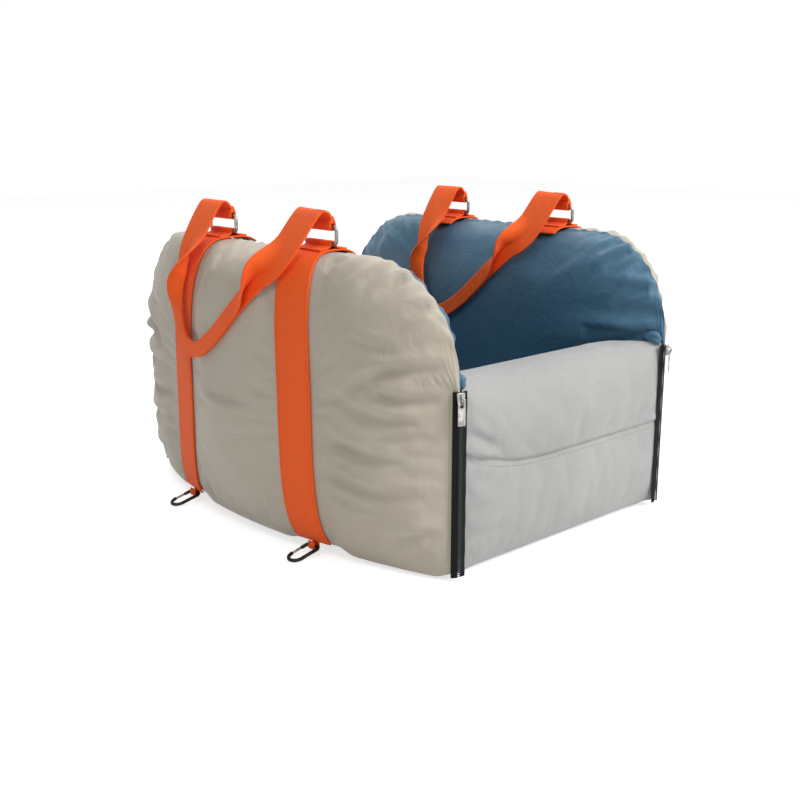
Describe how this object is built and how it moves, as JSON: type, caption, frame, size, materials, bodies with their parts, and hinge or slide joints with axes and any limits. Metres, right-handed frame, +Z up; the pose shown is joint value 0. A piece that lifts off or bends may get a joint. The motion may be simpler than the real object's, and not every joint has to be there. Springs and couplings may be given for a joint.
{
  "type": "dog car seat",
  "caption": "Stuffed dog car seat with tall side walls, fold-down end walls closed by corner zips, webbing straps, ringed carry handles, a belt strap and snap hooks.",
  "frame": {"origin": "on the ground under the middle of the seat", "axes": "+Z up, +Y towards the rear wall, +X towards the wall with the belt strap"},
  "size_m": [0.5818, 0.629, 0.4072],
  "materials": {
    "shell": "satin coated weave, greige",
    "panel": "satin coated weave, cool grey",
    "lining": "satin coated weave, blue",
    "filling": "fibre filling",
    "board": "plain board",
    "base": "black base cloth",
    "tape": "black zip tape",
    "webbing": "orange woven webbing",
    "steel": "nickel plated",
    "black_steel": "black"
  },
  "bodies": {
    "base": {"base_cover": "base", "base_board": "board", "seat_cushion": "lining", "belt_strap": "webbing", "left_wall_cover": "shell", "left_wall_lining": "lining", "left_wall_filling": "filling", "left_front_strap": "webbing", "left_front_ring_loop": "webbing", "left_front_hook_tab": "webbing", "front_left_zip_wall_tape": "tape", "left_rear_strap": "webbing", "left_rear_ring_loop": "webbing", "left_rear_hook_tab": "webbing", "rear_left_zip_wall_tape": "tape", "right_wall_cover": "shell", "right_wall_lining": "lining", "right_wall_filling": "filling", "right_front_strap": "webbing", "right_front_ring_loop": "webbing", "right_front_hook_tab": "webbing", "front_right_zip_wall_tape": "tape", "right_rear_strap": "webbing", "right_rear_ring_loop": "webbing", "right_rear_hook_tab": "webbing", "rear_right_zip_wall_tape": "tape"},
    "front_wall": {"front_wall_cover": "panel", "front_wall_lining": "lining", "front_wall_filling": "filling", "front_left_zip_flap_tape": "tape", "front_right_zip_flap_tape": "tape"},
    "rear_wall": {"rear_wall_cover": "panel", "rear_wall_lining": "lining", "rear_wall_filling": "filling", "rear_left_zip_flap_tape": "tape", "rear_right_zip_flap_tape": "tape"},
    "front_left_zip_slider": {"front_left_zip_slider": "steel"},
    "front_left_zip_pull": {"front_left_zip_pull": "steel"},
    "front_right_zip_slider": {"front_right_zip_slider": "steel"},
    "front_right_zip_pull": {"front_right_zip_pull": "steel"},
    "rear_left_zip_slider": {"rear_left_zip_slider": "steel"},
    "rear_left_zip_pull": {"rear_left_zip_pull": "steel"},
    "rear_right_zip_slider": {"rear_right_zip_slider": "steel"},
    "rear_right_zip_pull": {"rear_right_zip_pull": "steel"},
    "left_rings": {"left_front_ring": "steel", "left_rear_ring": "steel"},
    "left_handle": {"left_handle": "webbing"},
    "right_rings": {"right_front_ring": "steel", "right_rear_ring": "steel"},
    "right_handle": {"right_handle": "webbing"},
    "left_front_hook": {"left_front_hook": "black_steel"},
    "left_front_hook_gate": {"left_front_hook_gate": "steel"},
    "left_rear_hook": {"left_rear_hook": "black_steel"},
    "left_rear_hook_gate": {"left_rear_hook_gate": "steel"},
    "right_front_hook": {"right_front_hook": "black_steel"},
    "right_front_hook_gate": {"right_front_hook_gate": "steel"},
    "right_rear_hook": {"right_rear_hook": "black_steel"},
    "right_rear_hook_gate": {"right_rear_hook_gate": "steel"}
  },
  "joints": [
    {"name": "front_wall_fold", "type": "hinge", "parent": "base", "child": "front_wall", "pos_m": [0, -0.305, 0.01], "axis": [1, 0, 0], "range_deg": [0, 90]},
    {"name": "rear_wall_fold", "type": "hinge", "parent": "base", "child": "rear_wall", "pos_m": [0, 0.305, 0.01], "axis": [-1, 0, 0], "range_deg": [0, 90]},
    {"name": "front_left_zip_slide", "type": "slide", "parent": "front_wall", "child": "front_left_zip_slider", "axis": [0, 0, -1], "range_m": [0, 0.17]},
    {"name": "front_left_pull_swing", "type": "hinge", "parent": "front_left_zip_slider", "child": "front_left_zip_pull", "pos_m": [-0.19056, -0.31156, 0.213], "axis": [-0.9063, 0.4226, 0], "range_deg": [0, 150]},
    {"name": "front_right_zip_slide", "type": "slide", "parent": "front_wall", "child": "front_right_zip_slider", "axis": [0, 0, -1], "range_m": [0, 0.17]},
    {"name": "front_right_pull_swing", "type": "hinge", "parent": "front_right_zip_slider", "child": "front_right_zip_pull", "pos_m": [0.19056, -0.31156, 0.213], "axis": [-0.9063, -0.4226, 0], "range_deg": [0, 150]},
    {"name": "rear_left_zip_slide", "type": "slide", "parent": "rear_wall", "child": "rear_left_zip_slider", "axis": [0, 0, -1], "range_m": [0, 0.17]},
    {"name": "rear_left_pull_swing", "type": "hinge", "parent": "rear_left_zip_slider", "child": "rear_left_zip_pull", "pos_m": [-0.19056, 0.31156, 0.213], "axis": [0.9063, 0.4226, 0], "range_deg": [0, 150]},
    {"name": "rear_right_zip_slide", "type": "slide", "parent": "rear_wall", "child": "rear_right_zip_slider", "axis": [0, 0, -1], "range_m": [0, 0.17]},
    {"name": "rear_right_pull_swing", "type": "hinge", "parent": "rear_right_zip_slider", "child": "rear_right_zip_pull", "pos_m": [0.19056, 0.31156, 0.213], "axis": [0.9063, -0.4226, 0], "range_deg": [0, 150]},
    {"name": "left_rings_tilt", "type": "hinge", "parent": "base", "child": "left_rings", "pos_m": [-0.20981, 0, 0.3629], "axis": [0, 1, 0], "range_deg": [0, 45]},
    {"name": "left_handle_lift", "type": "hinge", "parent": "left_rings", "child": "left_handle", "pos_m": [-0.20981, 0, 0.3829], "axis": [0, 1, 0], "range_deg": [0, 125]},
    {"name": "right_rings_tilt", "type": "hinge", "parent": "base", "child": "right_rings", "pos_m": [0.20981, 0, 0.3629], "axis": [0, 1, 0], "range_deg": [0, 45]},
    {"name": "right_handle_lift", "type": "hinge", "parent": "right_rings", "child": "right_handle", "pos_m": [0.20981, 0, 0.3829], "axis": [0, 1, 0], "range_deg": [0, 125]},
    {"name": "left_front_hook_lift", "type": "hinge", "parent": "base", "child": "left_front_hook", "pos_m": [-0.25228, -0.13, 0.01062], "axis": [0, 1, 0], "range_deg": [0, 50]},
    {"name": "left_front_gate_open", "type": "hinge", "parent": "left_front_hook", "child": "left_front_hook_gate", "pos_m": [-0.26309, -0.1216, 0.00811], "axis": [-0.2254, 0, 0.9743], "range_deg": [0, 25], "stiffness_Nm_per_rad": 0.05, "springref_deg": -5.73},
    {"name": "left_rear_hook_lift", "type": "hinge", "parent": "base", "child": "left_rear_hook", "pos_m": [-0.25228, 0.13, 0.01062], "axis": [0, 1, 0], "range_deg": [0, 50]},
    {"name": "left_rear_gate_open", "type": "hinge", "parent": "left_rear_hook", "child": "left_rear_hook_gate", "pos_m": [-0.26309, 0.1384, 0.00811], "axis": [-0.2254, 0, 0.9743], "range_deg": [0, 25], "stiffness_Nm_per_rad": 0.05, "springref_deg": -5.73},
    {"name": "right_front_hook_lift", "type": "hinge", "parent": "base", "child": "right_front_hook", "pos_m": [0.25228, -0.13, 0.01062], "axis": [0, -1, 0], "range_deg": [0, 50]},
    {"name": "right_front_gate_open", "type": "hinge", "parent": "right_front_hook", "child": "right_front_hook_gate", "pos_m": [0.26309, -0.1384, 0.00811], "axis": [0.2254, 0, 0.9743], "range_deg": [0, 25], "stiffness_Nm_per_rad": 0.05, "springref_deg": -5.73},
    {"name": "right_rear_hook_lift", "type": "hinge", "parent": "base", "child": "right_rear_hook", "pos_m": [0.25228, 0.13, 0.01062], "axis": [0, -1, 0], "range_deg": [0, 50]},
    {"name": "right_rear_gate_open", "type": "hinge", "parent": "right_rear_hook", "child": "right_rear_hook_gate", "pos_m": [0.26309, 0.1216, 0.00811], "axis": [0.2254, 0, 0.9743], "range_deg": [0, 25], "stiffness_Nm_per_rad": 0.05, "springref_deg": -5.73}
  ]
}
